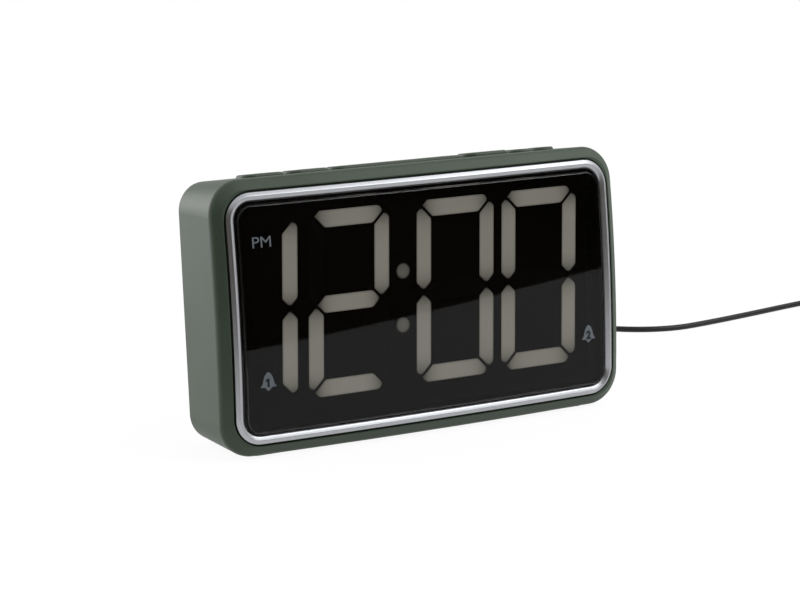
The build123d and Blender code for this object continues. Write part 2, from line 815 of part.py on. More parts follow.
grip = plugged(RectangleRounded(plug_width, plug_height, plug_round), plug_neck, grip_end)
grip = fillet(grip.faces().sort_by(Axis.Y)[0].edges() + grip.faces().sort_by(Axis.Y)[-1].edges(), plug_edge)
grip += plugged(Circle(plug_neck_radius), 0, plug_neck + plug_edge)
grip -= plugged(offset(shell_shape, fit_gap), shell_from, grip_end)
nodes["plug_grip"] = grip
shell = plugged(shell_shape - shell_bore, shell_from, shell_end)
for right in (-latch_spread, latch_spread):
    latch = Pos(right, 0) * Rectangle(latch_size, 2 * shell_height)
    shell -= plugged(latch, shell_end - latch_back - latch_size, shell_end - latch_back)
nodes["plug_shell"] = shell
tongue_up = (tongue_thickness - shell_height) / 2 + shell_wall + fit_gap
tongue = Pos(0, tongue_up) * Rectangle(tongue_width, tongue_thickness)
nodes["plug_tongue"] = plugged(tongue, shell_from, shell_from + tongue_length)

for name, part in nodes.items():
    export_step(part, "parts/" + name + ".step")
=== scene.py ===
import json
from math import cos, hypot, pi, radians, sin, sqrt, tan

import bmesh
import bpy
from mathutils import Matrix, Vector

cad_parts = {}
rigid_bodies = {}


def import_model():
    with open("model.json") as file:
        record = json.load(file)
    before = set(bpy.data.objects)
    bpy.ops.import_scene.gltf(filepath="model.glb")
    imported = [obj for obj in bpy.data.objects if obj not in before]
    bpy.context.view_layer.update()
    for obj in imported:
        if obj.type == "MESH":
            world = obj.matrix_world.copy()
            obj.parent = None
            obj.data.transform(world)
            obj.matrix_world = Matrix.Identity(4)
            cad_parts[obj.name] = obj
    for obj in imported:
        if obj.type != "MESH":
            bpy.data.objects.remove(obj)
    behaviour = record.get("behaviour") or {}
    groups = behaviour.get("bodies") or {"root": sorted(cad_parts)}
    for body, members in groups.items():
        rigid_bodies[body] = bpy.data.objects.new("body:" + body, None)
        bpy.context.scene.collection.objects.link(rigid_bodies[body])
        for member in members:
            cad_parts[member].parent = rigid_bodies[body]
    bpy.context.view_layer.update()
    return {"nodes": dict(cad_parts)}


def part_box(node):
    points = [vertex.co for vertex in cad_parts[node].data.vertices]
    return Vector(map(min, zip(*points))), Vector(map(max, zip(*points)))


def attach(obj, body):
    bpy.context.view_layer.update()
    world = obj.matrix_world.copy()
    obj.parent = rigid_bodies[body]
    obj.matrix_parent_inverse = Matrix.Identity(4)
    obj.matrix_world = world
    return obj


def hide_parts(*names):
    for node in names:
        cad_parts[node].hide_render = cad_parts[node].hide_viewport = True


# Desk clock with large lit digits, on a white table. Everything is in metres, front towards -Y, +Z up.
# Sizes are written in millimetres, in the clock's own upright frame, and leaned back with it.
for thing in list(bpy.data.objects):
    bpy.data.objects.remove(thing)
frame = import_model()
mm = 0.001

# Camera: a long lens to the left of the clock and slightly above it, held level, with the clock's window
# in the middle of the picture.
camera_aim = Vector((0.3319, -0.1914, 43.492)) * mm
camera_distance = 941.0 * mm
camera_heading = radians(-31.5513)
camera_dip = radians(11.8475)
camera_data = bpy.data.cameras.new("photo_camera")
camera_data.sensor_fit = "HORIZONTAL"
camera_data.sensor_width = 36.0
camera_data.lens = 118.137
camera_data.clip_start = 0.05
camera_data.clip_end = 20.0
camera = bpy.data.objects.new("photo_camera", camera_data)
bpy.context.scene.collection.objects.link(camera)
camera_turn = Matrix.Rotation(camera_heading, 4, "Z") @ Matrix.Rotation(radians(90) - camera_dip, 4, "X")
camera_back = Matrix.Translation((0, 0, camera_distance))
camera.matrix_world = Matrix.Translation(camera_aim) @ camera_turn @ camera_back
bpy.context.scene.camera = camera


# Case: one moulding in dark grey-green plastic, spark-eroded to a fine satin grain. The rear cover and the
# battery door are moulded in the same plastic, and the cover is screwed into posts in the case.
def new_finish(name):
    """A new material, with its nodes, its links and its main shader."""
    material = bpy.data.materials.new(name)
    material.use_nodes = True
    nodes = material.node_tree.nodes
    return material, nodes, material.node_tree.links, nodes["Principled BSDF"]


def patches(nodes, scale, detail):
    """Soft random patches, more of them to the metre at a larger scale."""
    noise = nodes.new("ShaderNodeTexNoise")
    noise.inputs["Scale"].default_value = scale
    noise.inputs["Detail"].default_value = detail
    return noise


def two_tones(nodes, low, high, ends=(0.3, 0.7)):
    """A run from one colour to another, between two ends of a patchy value."""
    ramp = nodes.new("ShaderNodeValToRGB")
    for mark, end, colour in zip(ramp.color_ramp.elements, ends, (low, high)):
        mark.position = end
        mark.color = (*colour, 1)
    return ramp


def level_range(nodes, low, high):
    """The lowest and highest level that a patchy value is spread over."""
    levels = nodes.new("ShaderNodeMapRange")
    levels.inputs["To Min"].default_value = low
    levels.inputs["To Max"].default_value = high
    return levels


def moulded_plastic(name, low, high, gloss=(0.42, 0.54), cloud=45.0, grain=2600.0, height=0.02, shine=0.5):
    """Two close tones in soft clouds, an uneven gloss and a fine grain from the mould."""
    material, nodes, links, shader = new_finish(name)
    shader.inputs["Specular IOR Level"].default_value = shine
    place = nodes.new("ShaderNodeTexCoord")
    clouds = patches(nodes, cloud, 4.0)
    sparks = patches(nodes, grain, 2.0)
    tone = two_tones(nodes, low, high)
    dull = level_range(nodes, *gloss)
    bump = nodes.new("ShaderNodeBump")
    bump.inputs["Strength"].default_value = 0.35
    bump.inputs["Distance"].default_value = height * mm
    links.new(place.outputs["Object"], clouds.inputs["Vector"])
    links.new(place.outputs["Object"], sparks.inputs["Vector"])
    links.new(clouds.outputs["Fac"], tone.inputs["Fac"])
    links.new(tone.outputs["Color"], shader.inputs["Base Color"])
    links.new(sparks.outputs["Fac"], dull.inputs["Value"])
    links.new(dull.outputs["Result"], shader.inputs["Roughness"])
    links.new(sparks.outputs["Fac"], bump.inputs["Height"])
    links.new(bump.outputs["Normal"], shader.inputs["Normal"])
    return material


def dress(material, *names):
    """Give a finish to pieces whose shape already comes with the frame."""
    for name in names:
        frame["nodes"][name].data.materials.clear()
        frame["nodes"][name].data.materials.append(material)


case_green = moulded_plastic("case_green", (0.035, 0.055, 0.034), (0.042, 0.064, 0.041), gloss=(0.45, 0.53),
                             shine=0.36)
dress(case_green, "housing", "rear_cover", "battery_door")

# Display block: black moulded plastic with a deep light well behind each segment, standing on the display
# board. The diffusers of the segments that aren't lit at this hour are painted nearly black, as painted shade
# for the dark behind the window, so that they vanish there.
well_black = moulded_plastic("well_black", (0.008, 0.007, 0.005), (0.012, 0.010, 0.008), gloss=(0.7, 0.85),
                             shine=0.1)
# Unlit diffusers: nearly black, painted shade standing in for the dark behind the window.
unlit_painted_shade = moulded_plastic("unlit_painted_shade", (0.010, 0.010, 0.009), (0.014, 0.014, 0.012), gloss=(0.6, 0.75))
dress(well_black, "display_block")
dress(unlit_painted_shade, "unlit_segments")

# Lit digits: milky diffusers with softly rounded corners, let into the block's wells. A lamp stands behind
# the middle of each segment, so the light fades towards its ends, and the well shades its rim.
digit_names = ("hour_tens_segments", "hour_segments", "minute_tens_segments", "minute_segments", "colon_dots")
lean = -4.8
lean_turn = Matrix.Rotation(radians(lean), 4, "X")
facing = lean_turn @ Vector((0, -1, 0))
straight_on = 0.9
merge_reach = 0.001 * mm
flat_turn = radians(1)
tip_round = 1.3 * mm
tip_turn = radians(60)
corner_round = 0.75 * mm
corner_turn = radians(40)
round_steps = 4
fade_width = 0.35 * mm
rim_glow = 0.66
band_glow = 0.88
full_glow = 1.0
colon_glow = 0.5
end_fade = 0.72
fade_power = 4.5
glow_cut = 3.0 * mm
glow_strength = 1.1

lit_diffuser, lit_nodes, lit_links, lit_shader = new_finish("lit_diffuser")
lit_shader.inputs["Roughness"].default_value = 0.6
lit_shader.inputs["Emission Strength"].default_value = glow_strength
lit_fade = lit_nodes.new("ShaderNodeAttribute")
lit_fade.attribute_name = "glow"
lit_place = lit_nodes.new("ShaderNodeTexCoord")
lit_pools = patches(lit_nodes, 55.0, 1.0)
lit_level = level_range(lit_nodes, 0.86, 1.12)
lit_share = lit_nodes.new("ShaderNodeMath")
lit_share.operation = "MULTIPLY"
lit_tone = two_tones(lit_nodes, (0.02, 0.017, 0.012), (0.98, 0.97, 0.88), ends=(0.0, 1.0))
lit_links.new(lit_place.outputs["Object"], lit_pools.inputs["Vector"])
lit_links.new(lit_pools.outputs["Fac"], lit_level.inputs["Value"])
lit_links.new(lit_fade.outputs["Fac"], lit_share.inputs[0])
lit_links.new(lit_level.outputs["Result"], lit_share.inputs[1])
lit_links.new(lit_share.outputs["Value"], lit_tone.inputs["Fac"])
lit_links.new(lit_tone.outputs["Color"], lit_shader.inputs["Base Color"])
lit_links.new(lit_tone.outputs["Color"], lit_shader.inputs["Emission Color"])


def looking_out(form):
    """The faces of the diffusers that look out of their wells."""
    return [face for face in form.faces if face.normal.dot(facing) > straight_on]


def round_corners(form, size, least_turn):
    """Round the edges that run straight back from the corners sharper than a least turn."""
    corners = []
    for edge in form.edges:
        run = (edge.verts[0].co - edge.verts[1].co).normalized()
        if abs(run @ facing) > straight_on and edge.calc_face_angle(0) > least_turn:
            corners.append(edge)
    bmesh.ops.bevel(
        form,
        geom=corners,
        offset=size,
        affect="EDGES",
        segments=round_steps,
        profile=0.5,
        material=-1,
    )


def light_up(form, low, high, middle_glow):
    """Write down how brightly each place of the diffusers glows, on fronts cut finely enough to show it."""
    glow = form.verts.layers.float.new("glow")
    of_segment = form.verts.layers.float.new("of_segment")
    for vertex in form.verts:
        vertex[glow] = rim_glow
    fronts = looking_out(form)
    middles = [face.calc_center_median() for face in fronts]
    reaches = []
    for index, face in enumerate(fronts):
        reaches.append(max((vertex.co - middles[index]).length for vertex in face.verts))
        for vertex in face.verts:
            vertex[of_segment] = index
    for band_level in (band_glow, full_glow):
        bmesh.ops.inset_individual(form, faces=fronts, thickness=fade_width, use_even_offset=True)
        for face in fronts:
            for vertex in face.verts:
                vertex[glow] = band_level
    for axis, along in ((0, Vector((1, 0, 0))), (2, Vector((0, 0, 1)))):
        for step in range(1, int((high[axis] - low[axis]) / glow_cut) + 1):
            parts = set()
            for face in looking_out(form):
                parts.update((face, *face.edges, *face.verts))
            spot = along * (low[axis] + step * glow_cut)
            bmesh.ops.bisect_plane(form, geom=list(parts), plane_co=spot, plane_no=along)
    front_verts = set()
    for face in looking_out(form):
        front_verts.update(face.verts)
    for vertex in front_verts:
        index = round(vertex[of_segment])
        far = (vertex.co - middles[index]).length / reaches[index]
        vertex[glow] *= middle_glow * (1 - end_fade * far ** fade_power)
    bmesh.ops.triangulate(form, faces=looking_out(form))


def add_piece(name, form, material, body, slot, *nodes, sharp=40.0):
    """Turn a finished form into a piece that rides on a body of the frame."""
    mesh = bpy.data.meshes.new(name)
    form.to_mesh(mesh)
    form.free()
    mesh.materials.append(material)
    mesh.shade_smooth()
    mesh.set_sharp_from_angle(angle=radians(sharp))
    piece = bpy.data.objects.new(name, mesh)
    bpy.context.scene.collection.objects.link(piece)
    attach(piece, body)
    if nodes:
        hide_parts(*nodes)
    return piece


for name in digit_names:
    digit = bmesh.new()
    digit.from_mesh(frame["nodes"][name].data)
    bmesh.ops.remove_doubles(digit, verts=digit.verts, dist=merge_reach)
    bmesh.ops.dissolve_limit(digit, angle_limit=flat_turn, verts=digit.verts, edges=digit.edges)
    if name == "colon_dots":
        light_up(digit, *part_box(name), colon_glow)
    else:
        round_corners(digit, tip_round, tip_turn)
        round_corners(digit, corner_round, corner_turn)
        light_up(digit, *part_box(name), full_glow)
    add_piece(name + "_lit", digit, lit_diffuser, "clock", "lit_diffuser", name, sharp=0.0)


# Boards and what they carry: glass-fibre boards under green solder mask with copper tracks, surface lamps
# of clear resin, a black chip, two aluminium cans and a plated crystal. Screws hold the boards to bosses.
def plated_metal(name, low, high, gloss=(0.22, 0.36)):
    """Bright metal with fine specks in its tone and gloss."""
    material, nodes, links, shader = new_finish(name)
    shader.inputs["Metallic"].default_value = 1.0
    place = nodes.new("ShaderNodeTexCoord")
    specks = patches(nodes, 900.0, 3.0)
    tone = two_tones(nodes, low, high)
    dull = level_range(nodes, *gloss)
    links.new(place.outputs["Object"], specks.inputs["Vector"])
    links.new(specks.outputs["Fac"], tone.inputs["Fac"])
    links.new(tone.outputs["Color"], shader.inputs["Base Color"])
    links.new(specks.outputs["Fac"], dull.inputs["Value"])
    links.new(dull.outputs["Result"], shader.inputs["Roughness"])
    return material


solder_mask, mask_nodes, mask_links, mask_shader = new_finish("solder_mask")
mask_shader.inputs["Roughness"].default_value = 0.35
mask_place = mask_nodes.new("ShaderNodeTexCoord")
mask_turn = mask_nodes.new("ShaderNodeMapping")
mask_turn.inputs["Rotation"].default_value = (radians(90), 0, 0)
mask_tracks = mask_nodes.new("ShaderNodeTexBrick")
mask_tracks.inputs["Scale"].default_value = 90.0
mask_tracks.inputs["Mortar Size"].default_value = 0.03
mask_tracks.inputs["Color1"].default_value = (0.045, 0.17, 0.07, 1)
mask_tracks.inputs["Color2"].default_value = (0.055, 0.20, 0.08, 1)
mask_tracks.inputs["Mortar"].default_value = (0.11, 0.27, 0.10, 1)
mask_links.new(mask_place.outputs["Object"], mask_turn.inputs["Vector"])
mask_links.new(mask_turn.outputs["Vector"], mask_tracks.inputs["Vector"])
mask_links.new(mask_tracks.outputs["Color"], mask_shader.inputs["Base Color"])

chip_black = moulded_plastic("chip_black", (0.010, 0.010, 0.011), (0.018, 0.018, 0.019), gloss=(0.5, 0.65))
lamp_resin = moulded_plastic("lamp_resin", (0.70, 0.73, 0.55), (0.78, 0.80, 0.62), gloss=(0.15, 0.25))
can_aluminium = plated_metal("can_aluminium", (0.62, 0.62, 0.64), (0.74, 0.74, 0.76))
bright_steel = plated_metal("bright_steel", (0.50, 0.50, 0.51), (0.66, 0.66, 0.68))
zinc_plate = plated_metal("zinc_plate", (0.22, 0.22, 0.23), (0.34, 0.34, 0.35), gloss=(0.34, 0.46))
dress(solder_mask, "display_board", "button_board")
dress(chip_black, "control_chip", "switch_bodies")
dress(lamp_resin, "leds")
dress(can_aluminium, "board_capacitors")
dress(bright_steel, "crystal", "cell_contacts")
dress(zinc_plate, "board_screws", "strip_screws", "cover_screws")

# Trim ring: a plastic ring with satin silver plating, pressed into the rim. It slopes up to a soft ridge,
# falls away gently towards the window, where its edge rolls over, and follows the bow of the front.
clock_middle = Vector((0, -19.3603, 48.5423)) * mm
clock_place = Matrix.Translation(clock_middle) @ lean_turn @ Matrix.Scale(mm, 4)
ring_width = 156.47
ring_height = 86.1
ring_corner = 9.4
ring_band = 3.15
ring_rise = 0.4
ring_crest = 1.2
ring_climb = tan(radians(36.0))
ring_fall = tan(radians(24.0))
ring_soft = 0.12
ring_roll = 0.9
ring_drop = 0.52
ring_seat = 2.15
ring_steps = 9
crown_across = 2.25
crown_up = 1.75
crown = crown_across + crown_up
radius_across = (ring_width ** 2 / 4 + crown_across ** 2) / (2 * crown_across)
radius_up = (ring_height ** 2 / 4 + crown_up ** 2) / (2 * crown_up)
corner_steps = 14
cut_across = 9.0
cut_up = 8.0
cut_snap = 0.005


def front_depth(right, up, sunk):
    """Depth of the bowed front at a place, for a layer sunk below it."""
    arc = radius_up - crown - sqrt((radius_up - sunk) ** 2 - up ** 2)
    return radius_across - crown - sqrt((radius_across - crown - arc) ** 2 - right ** 2)


def rounded_sheet(width, height, corner, bands):
    """A rounded rectangle facing forward, with bands inside its edge round one plain face."""
    sheet = bmesh.new()
    bmesh.ops.create_grid(sheet, x_segments=1, y_segments=1, size=0.5)
    bmesh.ops.scale(sheet, vec=(width, height, 1), verts=sheet.verts)
    bmesh.ops.bevel(
        sheet,
        geom=sheet.verts[:],
        offset=corner,
        affect="VERTICES",
        segments=corner_steps,
        profile=0.5,
        material=-1,
    )
    bmesh.ops.rotate(sheet, matrix=Matrix.Rotation(radians(90), 3, "X"), verts=sheet.verts)
    middle = sheet.faces[:]
    for band in bands:
        bmesh.ops.inset_region(sheet, faces=middle, thickness=band, use_boundary=True, use_even_offset=True)
    return sheet


def cross_cuts(sheet, width, height):
    """Cut a flat sheet into a grid, so that it can follow the bow."""
    for size, cut, axis in ((width, cut_across, Vector((1, 0, 0))), (height, cut_up, Vector((0, 0, 1)))):
        count = int(size / 2 / cut)
        for step in range(-count, count + 1):
            everything = sheet.verts[:] + sheet.edges[:] + sheet.faces[:]
            spot = axis * (step * cut)
            bmesh.ops.bisect_plane(sheet, geom=everything, dist=cut_snap, plane_co=spot, plane_no=axis)


def inside_by(point, width, height, corner):
    """How far a point lies inside a rounded rectangle's edge."""
    right = abs(point.x) - width / 2 + corner
    up = abs(point.z) - height / 2 + corner
    return corner - hypot(max(right, 0), max(up, 0)) - min(max(right, up), 0)


def ridge(inside):
    """How far the ring's skin is sunk below the bowed front, from its outer to its inner edge."""
    past = inside - ring_crest
    turned = hypot(past, ring_soft) - ring_soft
    slopes = (ring_climb + ring_fall) / 2 * turned - (ring_climb - ring_fall) / 2 * past
    return slopes - ring_rise + ring_drop * max(1 - (ring_band - inside) / ring_roll, 0) ** 2


def open_edges(form):
    """The edges round the openings of a form."""
    return [edge for edge in form.edges if edge.is_boundary]


def new_verts(grown):
    """The vertices that an extrusion has made."""
    return [part for part in grown["geom"] if isinstance(part, bmesh.types.BMVert)]


ring_bands = []
for width in (ring_crest, ring_band - ring_crest - ring_roll, ring_roll):
    ring_bands += [width / ring_steps] * ring_steps
ring_form = rounded_sheet(ring_width, ring_height, ring_corner, ring_bands)
ring_middle = max(ring_form.faces, key=lambda face: face.calc_area())
bmesh.ops.delete(ring_form, geom=[ring_middle], context="FACES_ONLY")
cross_cuts(ring_form, ring_width, ring_height)
for vertex in ring_form.verts:
    sunk = ridge(max(inside_by(vertex.co, ring_width, ring_height, ring_corner), 0))
    vertex.co.y = front_depth(vertex.co.x, vertex.co.z, sunk)
for vertex in new_verts(bmesh.ops.extrude_edge_only(ring_form, edges=open_edges(ring_form))):
    vertex.co.y = front_depth(vertex.co.x, vertex.co.z, ring_seat)
bmesh.ops.bridge_loops(ring_form, edges=open_edges(ring_form))
bmesh.ops.recalc_face_normals(ring_form, faces=ring_form.faces)
ring_form.transform(clock_place)
ring_silver = plated_metal("ring_silver", (0.39, 0.40, 0.42), (0.42, 0.43, 0.45), gloss=(0.33, 0.37))
add_piece("silver_ring", ring_form, ring_silver, "clock", "silver_trim", "trim_ring")

# Window: smoked acrylic, bowed both ways, trapped under the ring. Its front is coated against glare. A narrow
# border all round lies lower than the front, and the polished rounded step between them catches the light.
window_width = 150.07
window_height = 79.7
window_corner = 6.2
window_rise = 0.3
window_edge = 1.05
window_border = 0.65
window_step = 0.5
window_drop = 0.4
window_seat = 2.15
window_band = 0.06
window_band_count = 23
window_last_band = 0.3
coated_bending = 1.25
acrylic_bending = 1.49


def step_share(point):
    """How far up the step a place lies, from 0 on the border to 1 on the front, which sits a little low."""
    lower = Vector((point.x, 0, point.z + window_drop))
    inside = inside_by(lower, window_width, window_height, window_corner)
    return min(max((inside - window_border) / window_step, 0), 1)


def smoked_acrylic(name, bending):
    """Clear dark plastic with a faint uneven haze; bending is how strongly it turns and mirrors light."""
    material, nodes, links, shader = new_finish(name)
    shader.inputs["Transmission Weight"].default_value = 1.0
    shader.inputs["IOR"].default_value = bending
    place = nodes.new("ShaderNodeTexCoord")
    haze = patches(nodes, 30.0, 3.0)
    tone = two_tones(nodes, (0.150, 0.146, 0.140), (0.165, 0.160, 0.150), ends=(0.0, 1.0))
    dull = level_range(nodes, 0.01, 0.03)
    links.new(place.outputs["Object"], haze.inputs["Vector"])
    links.new(haze.outputs["Fac"], tone.inputs["Fac"])
    links.new(tone.outputs["Color"], shader.inputs["Base Color"])
    links.new(haze.outputs["Fac"], dull.inputs["Value"])
    links.new(dull.outputs["Result"], shader.inputs["Roughness"])
    return material


window_bands = [window_border - window_drop] + [window_band] * window_band_count + [window_last_band]
window_form = rounded_sheet(window_width, window_height, window_corner, window_bands)
cross_cuts(window_form, window_width, window_height)
for vertex in window_form.verts:
    climb = sqrt(1 - (1 - step_share(vertex.co)) ** 2)
    vertex.co.y = front_depth(vertex.co.x, vertex.co.z, window_edge - (window_edge + window_rise) * climb)
for face in window_form.faces:
    face.material_index = int(0 < step_share(face.calc_center_median()) < 1)
window_back = bmesh.ops.extrude_face_region(window_form, geom=window_form.faces[:], use_keep_orig=True)
for vertex in new_verts(window_back):
    vertex.co.y = front_depth(vertex.co.x, vertex.co.z, window_seat)
bmesh.ops.recalc_face_normals(window_form, faces=window_form.faces)
window_form.transform(clock_place)
coated_front = smoked_acrylic("coated_front", coated_bending)
polished_edge = smoked_acrylic("polished_edge", acrylic_bending)
window = add_piece("smoked_window", window_form, coated_front, "clock", "smoked_window", "front_lens",
                   sharp=60.0)
window.data.materials.append(polished_edge)

# Signs on the window: a PM mark and two bells with their numbers, printed in pale grey ink on the front.
# The numbers are printed over the bells in black.
ink_depth = 0.04
number_depth = 0.03
pm_height = 3.68
pm_stretch = 1.12
pm_spot = (-66.1, 26.2)
bell_spots = (("1", (-66.3, -21.4)), ("2", (66.9, -20.3)))
number_height = 3.1
number_weight = 0.05
number_drop = 0.45
merge_outline = 0.0001
one_outline = [
    (0.4, -1.5),
    (0.4, 1.5),
    (-0.15, 1.5),
    (-1.05, 0.95),
    (-1.05, 0.2),
    (-0.4, 0.6),
    (-0.4, -1.5),
]
# Right half of a bell: each corner's place, then how far its curve reaches on towards the next corner
bell_half = [
    (0.0, 3.2, 0.42, 0.0),
    (1.6, 1.45, 0.25, -0.85),
    (2.2, -0.6, 0.15, -0.55),
    (3.15, -1.95, 0.0, 0.0),
    (1.15, -2.1, 0.0, 0.0),
    (0.0, -3.2, -0.6, 0.0),
]


def printed_ink(name, low, high):
    """A dull ink with a very fine grain."""
    return moulded_plastic(name, low, high, gloss=(0.5, 0.65), cloud=700.0, grain=4000.0, height=0.004,
                           shine=0.15)


def flat_form(curve):
    """The filled face of a flat curve or a text, as a form in its own plane."""
    drawn = bpy.data.objects.new("drawing", curve)
    bpy.context.scene.collection.objects.link(drawn)
    mesh = bpy.data.meshes.new_from_object(drawn.evaluated_get(bpy.context.evaluated_depsgraph_get()))
    bpy.data.objects.remove(drawn)
    form = bmesh.new()
    form.from_mesh(mesh)
    bmesh.ops.remove_doubles(form, verts=form.verts, dist=merge_outline)
    return form


def letters(words, height, stretch=1.0, weight=0.0):
    """Plain upright letters or numbers of a height, centred on the origin."""
    curve = bpy.data.curves.new("letters", "FONT")
    curve.body = words
    curve.offset = weight
    form = flat_form(curve)
    low = Vector([min(vertex.co[axis] for vertex in form.verts) for axis in range(3)])
    high = Vector([max(vertex.co[axis] for vertex in form.verts) for axis in range(3)])
    bmesh.ops.translate(form, vec=-(low + high) / 2, verts=form.verts)
    bmesh.ops.scale(form, vec=Vector((stretch, 1, 1)) * (height / (high.y - low.y)), verts=form.verts)
    return form


def straight_sign(outline):
    """A flat sign with straight sides, from its corners in order."""
    form = bmesh.new()
    form.faces.new([form.verts.new((right, up, 0)) for right, up in reversed(outline)])
    return form


def bell():
    """A bell with a flared mouth and a round clapper, from one half and its mirror image."""
    curve = bpy.data.curves.new("bell", "CURVE")
    curve.dimensions = "2D"
    curve.fill_mode = "FRONT"
    line = curve.splines.new("BEZIER")
    mirrored = [(-right, up, along, -rise) for right, up, along, rise in reversed(bell_half[1:-1])]
    corners = bell_half + mirrored
    line.bezier_points.add(len(corners) - 1)
    for point, (right, up, along, rise) in zip(line.bezier_points, corners):
        point.handle_left_type = "FREE"
        point.handle_right_type = "FREE"
        point.co = (right, up, 0)
        point.handle_left = (right - along, up - rise, 0)
        point.handle_right = (right + along, up + rise, 0)
    line.use_cyclic_u = True
    return flat_form(curve)


def window_front(right, up):
    """Depth of the window's front at a place."""
    return front_depth(right, up, -window_rise)


def print_sign(name, form, spot, surface, place, ink, body, depth=ink_depth):
    """Lay a flat form on a surface as a thin skin of ink; surface gives the depth at a place."""
    bmesh.ops.rotate(form, matrix=Matrix.Rotation(radians(90), 3, "X"), verts=form.verts)
    bmesh.ops.translate(form, vec=(spot[0], 0, spot[1]), verts=form.verts)
    under = set(new_verts(bmesh.ops.extrude_face_region(form, geom=form.faces[:], use_keep_orig=True)))
    for vertex in form.verts:
        lift = 0 if vertex in under else depth
        vertex.co.y = surface(vertex.co.x, vertex.co.z) - lift
    bmesh.ops.recalc_face_normals(form, faces=form.faces)
    form.transform(place)
    add_piece(name, form, ink, body, "white_plastic")


sign_grey = printed_ink("sign_grey", (0.122, 0.141, 0.160), (0.147, 0.167, 0.187))
number_black = printed_ink("number_black", (0.008, 0.008, 0.009), (0.012, 0.012, 0.013))
pm_form = letters("PM", pm_height, pm_stretch)
print_sign("pm_sign", pm_form, pm_spot, window_front, clock_place, sign_grey, "clock")
for number, (right, up) in bell_spots:
    print_sign("bell_sign_" + number, bell(), (right, up), window_front, clock_place, sign_grey, "clock")
    if number == "1":
        figure = straight_sign(one_outline)
    else:
        figure = letters(number, number_height, weight=number_weight)
    print_sign("bell_number_" + number, figure, (right, up - number_drop), window_front, clock_place,
               number_black, "clock", depth=ink_depth + number_depth)

# Keys along the top: softly rounded caps in the case's green, each over a white plunger and a small switch.
# They press straight into the sloping top wall, and a flange under the wall keeps them in.
key_names = ("alarm_one", "alarm_two", "snooze", "set", "minus", "plus")
key_deck = (15.2, 46.634)
key_depth = 11.0
key_corner = 4.4
key_pill = 0.48
key_rise = 1.1
set_rise = 1.4
key_soft = 1.1
key_fall = 0.85
flange_top = -2.44
flange_low = -3.34
flange_step = 1.0
minus_outline = [(-1.5, -0.3), (1.5, -0.3), (1.5, 0.3), (-1.5, 0.3)]
plus_outline = [(-0.3, -1.5), (0.3, -1.5), (0.3, -0.3), (1.5, -0.3), (1.5, 0.3), (0.3, 0.3)]
plus_outline += [(-right, -up) for right, up in plus_outline]
sign_outlines = {"minus": minus_outline, "plus": plus_outline}
cap_first = 0.02
cap_growth = 0.03
cap_steps = 8
cap_last = 0.4
cap_bands = [key_soft * (cap_first + cap_growth * step) for step in range(cap_steps)] + [cap_last]
key_turn = Matrix.Rotation(radians(lean - 90), 4, "X")
key_green = moulded_plastic("key_green", (0.036, 0.056, 0.035), (0.043, 0.065, 0.042), gloss=(0.42, 0.50),
                            shine=0.36)
plunger_white = moulded_plastic("plunger_white", (0.68, 0.68, 0.66), (0.74, 0.74, 0.72), gloss=(0.35, 0.45))
dress(plunger_white, *[name + "_plunger" for name in key_names])

for name in key_names:
    low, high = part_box(name + "_button")
    width = (high[0] - low[0]) / mm
    centre = (high[0] + low[0]) / 2 / mm
    rise = set_rise if name == "set" else key_rise
    corner = min(key_corner, key_pill * width)
    key_place = clock_place @ Matrix.Translation((centre, *key_deck)) @ key_turn
    cap_form = rounded_sheet(width, key_depth, corner, cap_bands)
    for vertex in cap_form.verts:
        share = 1 - inside_by(vertex.co, width, key_depth, corner) / key_soft
        vertex.co.y = key_fall * (1 - sqrt(1 - min(max(share, 0), 1) ** 2)) - rise
    for level, deeper in ((flange_top, 0.0), (flange_top, flange_step), (flange_low, 0.0)):
        for vertex in new_verts(bmesh.ops.extrude_edge_only(cap_form, edges=open_edges(cap_form))):
            vertex.co.y = -level
            vertex.co.z += deeper if vertex.co.z > 0 else -deeper
    bmesh.ops.holes_fill(cap_form, edges=open_edges(cap_form), sides=0)
    bmesh.ops.recalc_face_normals(cap_form, faces=cap_form.faces)
    cap_form.transform(key_place)
    add_piece(name + "_cap", cap_form, key_green, name + "_key", "green_keys", name + "_button")
    sign = None
    if name in sign_outlines:
        sign = straight_sign(sign_outlines[name])
    if name.startswith("alarm"):
        sign = bell()
    if sign is not None:
        print_sign(name + "_sign", sign, (0, 0), lambda right, up: -rise, key_place, sign_grey, name + "_key")

# Back-up supply, buzzer and feet: two sleeved cells between nickel contacts behind the door, a black metal
# buzzer behind the sound slots, and soft rubber pads let into the base.
cell_sleeve = plated_metal("cell_sleeve", (0.20, 0.22, 0.25), (0.28, 0.30, 0.33), gloss=(0.30, 0.40))
buzzer_black = plated_metal("buzzer_black", (0.05, 0.05, 0.055), (0.09, 0.09, 0.095), gloss=(0.40, 0.55))
soft_rubber = moulded_plastic("soft_rubber", (0.014, 0.014, 0.014), (0.022, 0.022, 0.022), gloss=(0.7, 0.85))
dress(cell_sleeve, "backup_cells")
dress(buzzer_black, "buzzer")
dress(soft_rubber, "feet")

# Supply lead: a thin round two-core lead in a smooth black jacket. It leaves the relief, falls to the
# table, runs round behind the clock and off to the right, and the rest is wound in a tied coil.
cord_thickness = 2.4 * mm
cord_way = [
    (57.93, 25.94, 8.66),
    (57.93, 36.90, 7.74),
    (59.23, 49.94, 4.65),
    (63.43, 65.44, 1.25),
    (74.94, 83.44, 1.25),
    (96.94, 96.94, 1.25),
    (123.94, 98.34, 1.25),
    (145.44, 87.44, 1.25),
    (157.94, 73.04, 1.25),
    (174.94, 65.74, 1.25),
    (195.94, 67.94, 1.25),
    (221.94, 72.24, 1.25),
    (242.94, 76.24, 1.25),
    (259.94, 77.94, 1.55),
    (273.44, 72.44, 2.05),
    (279.94, 62.44, 2.05),
    (279.94, 51.84, 2.05),
]
coil_middle = (262.485, 49.442)
coil_level = 2.05
coil_rise = 3.1
coil_outer = 17.45
coil_step = 1.7
coil_half_turns = (5, 5, 5, 4)
half_turn_points = 12
turn_radius = coil_outer
turn_level = coil_level
